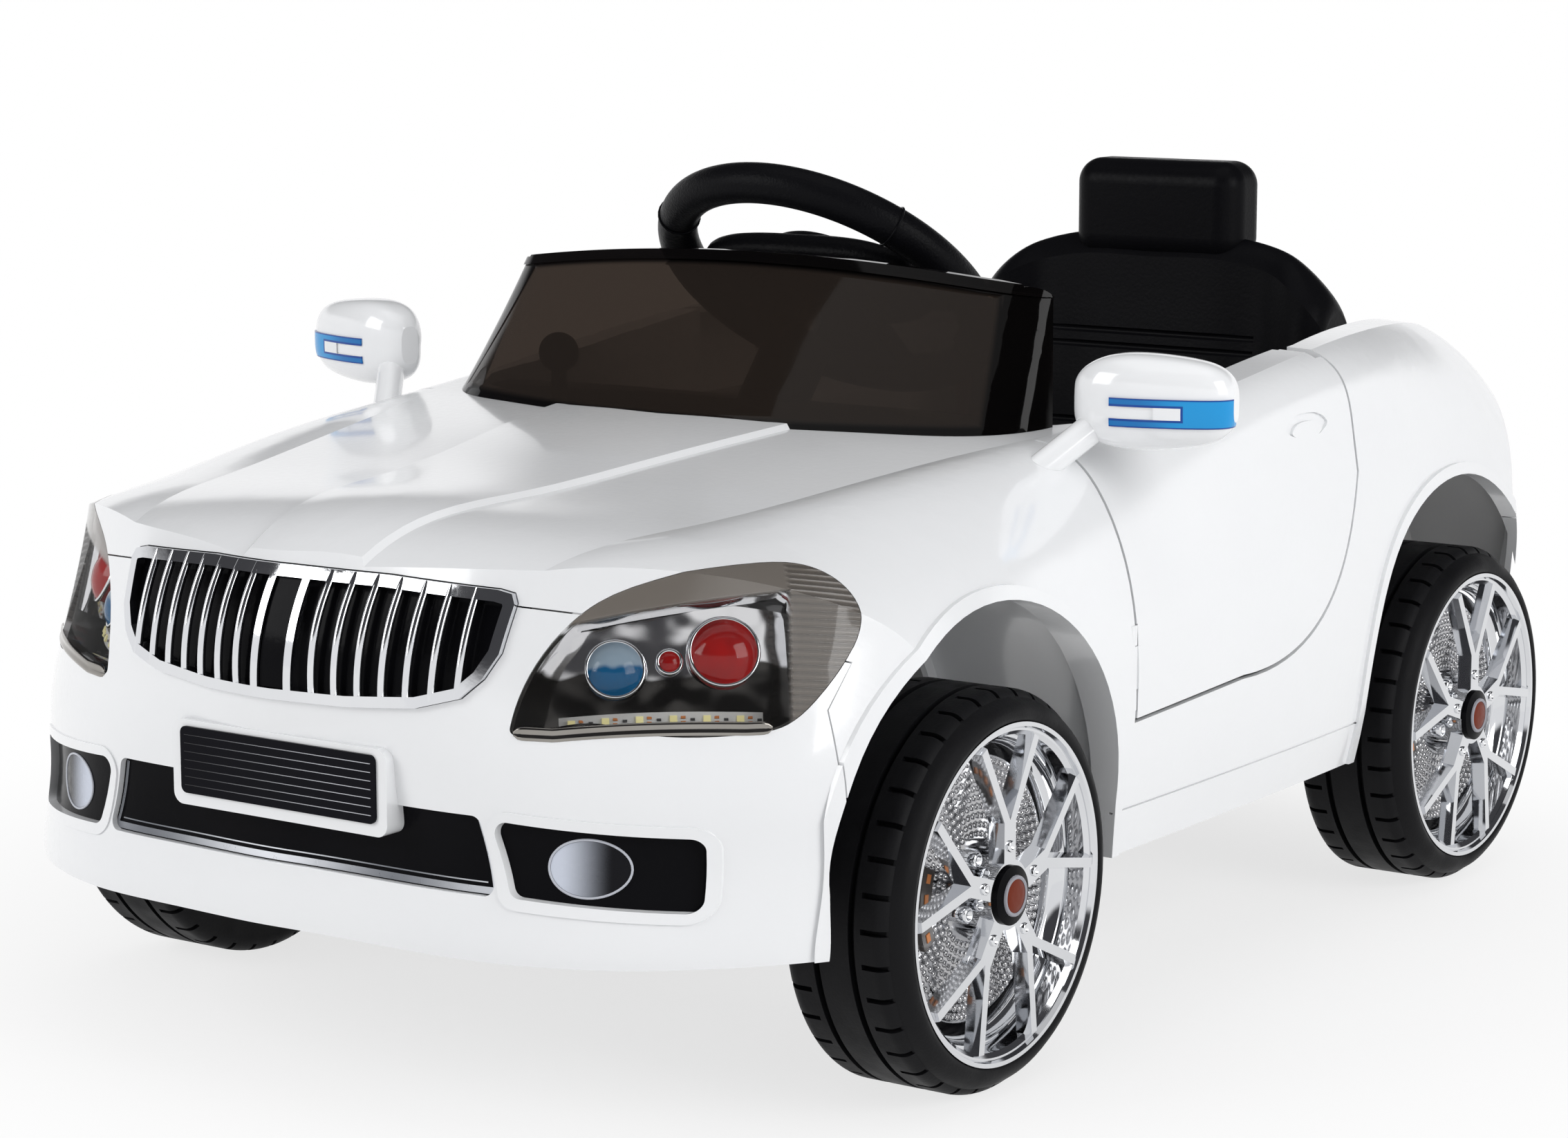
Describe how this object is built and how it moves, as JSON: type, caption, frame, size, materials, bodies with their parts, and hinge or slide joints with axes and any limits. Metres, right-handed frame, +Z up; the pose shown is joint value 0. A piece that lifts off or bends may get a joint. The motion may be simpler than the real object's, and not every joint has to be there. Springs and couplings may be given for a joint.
{
  "type": "electric ride-on car",
  "caption": "Battery ride-on toy car with white moulded body, opening doors, steered front wheels, black seat and chrome forked-spoke wheels.",
  "frame": {"origin": "on the ground under the middle of the car's bounding box", "axes": "+Z up; the nose points to -Y, so +Y runs to the tail; +X is the car's left side"},
  "size_m": [0.7036, 1.0703, 0.5025],
  "materials": {
    "white_body": "glossy moulded plastic",
    "black_trim": "glossy black plastic",
    "black_satin": "satin black plastic",
    "black_grain": "leather-grained black plastic",
    "chrome_trim": "chrome-plated plastic",
    "plate_black": "smooth black plastic",
    "lamp_lens": "tinted clear plastic",
    "smoked_screen": "smoked clear plastic",
    "blue_lens": "blue translucent plastic",
    "red_lens": "red translucent plastic",
    "red_button": "red plastic",
    "led_board": "white circuit board",
    "mirror_face": "polished foil",
    "tray_plastic": "dark grey moulded plastic",
    "steel": "zinc-plated steel",
    "painted_steel": "black painted steel",
    "motor_can": "plated steel can",
    "battery_case": "black battery case",
    "tyre_black": "matte moulded tyre"
  },
  "bodies": {
    "chassis": {"body_shell": "white_body", "front_bumper": "white_body", "rear_bumper": "white_body", "door_hinge_pins": "steel", "grille_frame": "chrome_trim", "grille_backing": "black_trim", "lower_intake": "black_trim", "fog_panels": "black_trim", "number_plate": "plate_black", "headlight_lens_left": "lamp_lens", "headlight_lens_right": "lamp_lens", "headlight_reflector_left": "chrome_trim", "headlight_reflector_right": "chrome_trim", "blue_lamps": "blue_lens", "red_lamps": "red_lens", "led_strips": "led_board", "tail_lights": "red_lens", "windscreen": "smoked_screen", "mirror_housing_left": "white_body", "mirror_housing_right": "white_body", "mirror_lights": "blue_lens", "mirror_glasses": "mirror_face", "chassis_tray": "tray_plastic", "body_screws": "steel", "dashboard": "black_satin", "column_bush": "tray_plastic", "front_axle_beam": "painted_steel", "kingpins": "steel", "rear_axle": "steel", "gearboxes": "tray_plastic", "motors": "motor_can", "battery": "battery_case", "control_box": "tray_plastic", "charging_socket": "black_trim", "seat": "black_satin", "headrest": "black_satin"},
    "left_door": {"door_left": "white_body"},
    "right_door": {"door_right": "white_body"},
    "steering": {"steering_wheel": "black_grain", "steering_column": "steel"},
    "left_horn_button": {"horn_button_left": "red_button"},
    "right_horn_button": {"horn_button_right": "red_button"},
    "left_knuckle": {"knuckle_left": "painted_steel"},
    "right_knuckle": {"knuckle_right": "painted_steel"},
    "track_rod": {"tie_rod": "steel"},
    "pedal": {"accelerator_pedal": "black_satin"},
    "lever": {"gear_lever": "black_satin"},
    "start_button": {"power_button": "red_button"},
    "front_left_wheel": {"tyre_front_left": "tyre_black", "rim_front_left": "chrome_trim", "cap_front_left": "black_trim"},
    "front_right_wheel": {"tyre_front_right": "tyre_black", "rim_front_right": "chrome_trim", "cap_front_right": "black_trim"},
    "rear_left_wheel": {"tyre_rear_left": "tyre_black", "rim_rear_left": "chrome_trim", "cap_rear_left": "black_trim"},
    "rear_right_wheel": {"tyre_rear_right": "tyre_black", "rim_rear_right": "chrome_trim", "cap_rear_right": "black_trim"}
  },
  "joints": [
    {"name": "left_door_hinge", "type": "hinge", "parent": "chassis", "child": "left_door", "pos_m": [0.3013, -0.1174, 0.218], "axis": [0, 0, -1], "range_deg": [0, 40]},
    {"name": "right_door_hinge", "type": "hinge", "parent": "chassis", "child": "right_door", "pos_m": [-0.3013, -0.1174, 0.218], "axis": [0, 0, 1], "range_deg": [0, 40]},
    {"name": "steering_turn", "type": "hinge", "parent": "chassis", "child": "steering", "pos_m": [0, 0.0058, 0.422], "axis": [0, 0.6428, 0.766], "range_deg": [-35, 35]},
    {"name": "left_knuckle_turn", "type": "hinge", "parent": "chassis", "child": "left_knuckle", "pos_m": [0.2, -0.275, 0.115], "axis": [0, 0, 1], "range_deg": [-18, 18]},
    {"name": "right_knuckle_turn", "type": "hinge", "parent": "chassis", "child": "right_knuckle", "pos_m": [-0.2, -0.275, 0.115], "axis": [0, 0, 1], "range_deg": [-18, 18]},
    {"name": "track_rod_slide", "type": "slide", "parent": "chassis", "child": "track_rod", "axis": [1, 0, 0], "range_m": [-0.0185, 0.0185]},
    {"name": "pedal_press", "type": "hinge", "parent": "chassis", "child": "pedal", "pos_m": [-0.105, -0.03, 0.096], "axis": [1, 0, 0], "range_deg": [0, 12], "stiffness_Nm_per_rad": 0.5, "springref_deg": -6.88},
    {"name": "lever_shift", "type": "hinge", "parent": "chassis", "child": "lever", "pos_m": [-0.14, -0.098, 0.33], "axis": [1, 0, 0], "range_deg": [-12, 12]},
    {"name": "start_button_press", "type": "slide", "parent": "chassis", "child": "start_button", "axis": [0, -1, 0], "range_m": [0, 0.002], "stiffness_N_per_m": 300, "springref_m": -0.002},
    {"name": "left_horn_press", "type": "slide", "parent": "steering", "child": "left_horn_button", "axis": [0, -0.6428, -0.766], "range_m": [0, 0.0015], "stiffness_N_per_m": 300, "springref_m": -0.002},
    {"name": "right_horn_press", "type": "slide", "parent": "steering", "child": "right_horn_button", "axis": [0, -0.6428, -0.766], "range_m": [0, 0.0015], "stiffness_N_per_m": 300, "springref_m": -0.002},
    {"name": "front_left_wheel_spin", "type": "hinge", "parent": "left_knuckle", "child": "front_left_wheel", "pos_m": [0.272, -0.275, 0.115], "axis": [1, 0, 0], "continuous": true},
    {"name": "front_right_wheel_spin", "type": "hinge", "parent": "right_knuckle", "child": "front_right_wheel", "pos_m": [-0.272, -0.275, 0.115], "axis": [1, 0, 0], "continuous": true},
    {"name": "rear_left_wheel_spin", "type": "hinge", "parent": "chassis", "child": "rear_left_wheel", "pos_m": [0.272, 0.335, 0.115], "axis": [1, 0, 0], "continuous": true},
    {"name": "rear_right_wheel_spin", "type": "hinge", "parent": "chassis", "child": "rear_right_wheel", "pos_m": [-0.272, 0.335, 0.115], "axis": [1, 0, 0], "continuous": true}
  ],
  "couplings": [
    {"joint": "left_knuckle_turn", "follows": "steering_turn", "ratio": 0.5},
    {"joint": "right_knuckle_turn", "follows": "steering_turn", "ratio": 0.5},
    {"joint": "track_rod_slide", "follows": "steering_turn", "m_per_rad": -0.029}
  ]
}
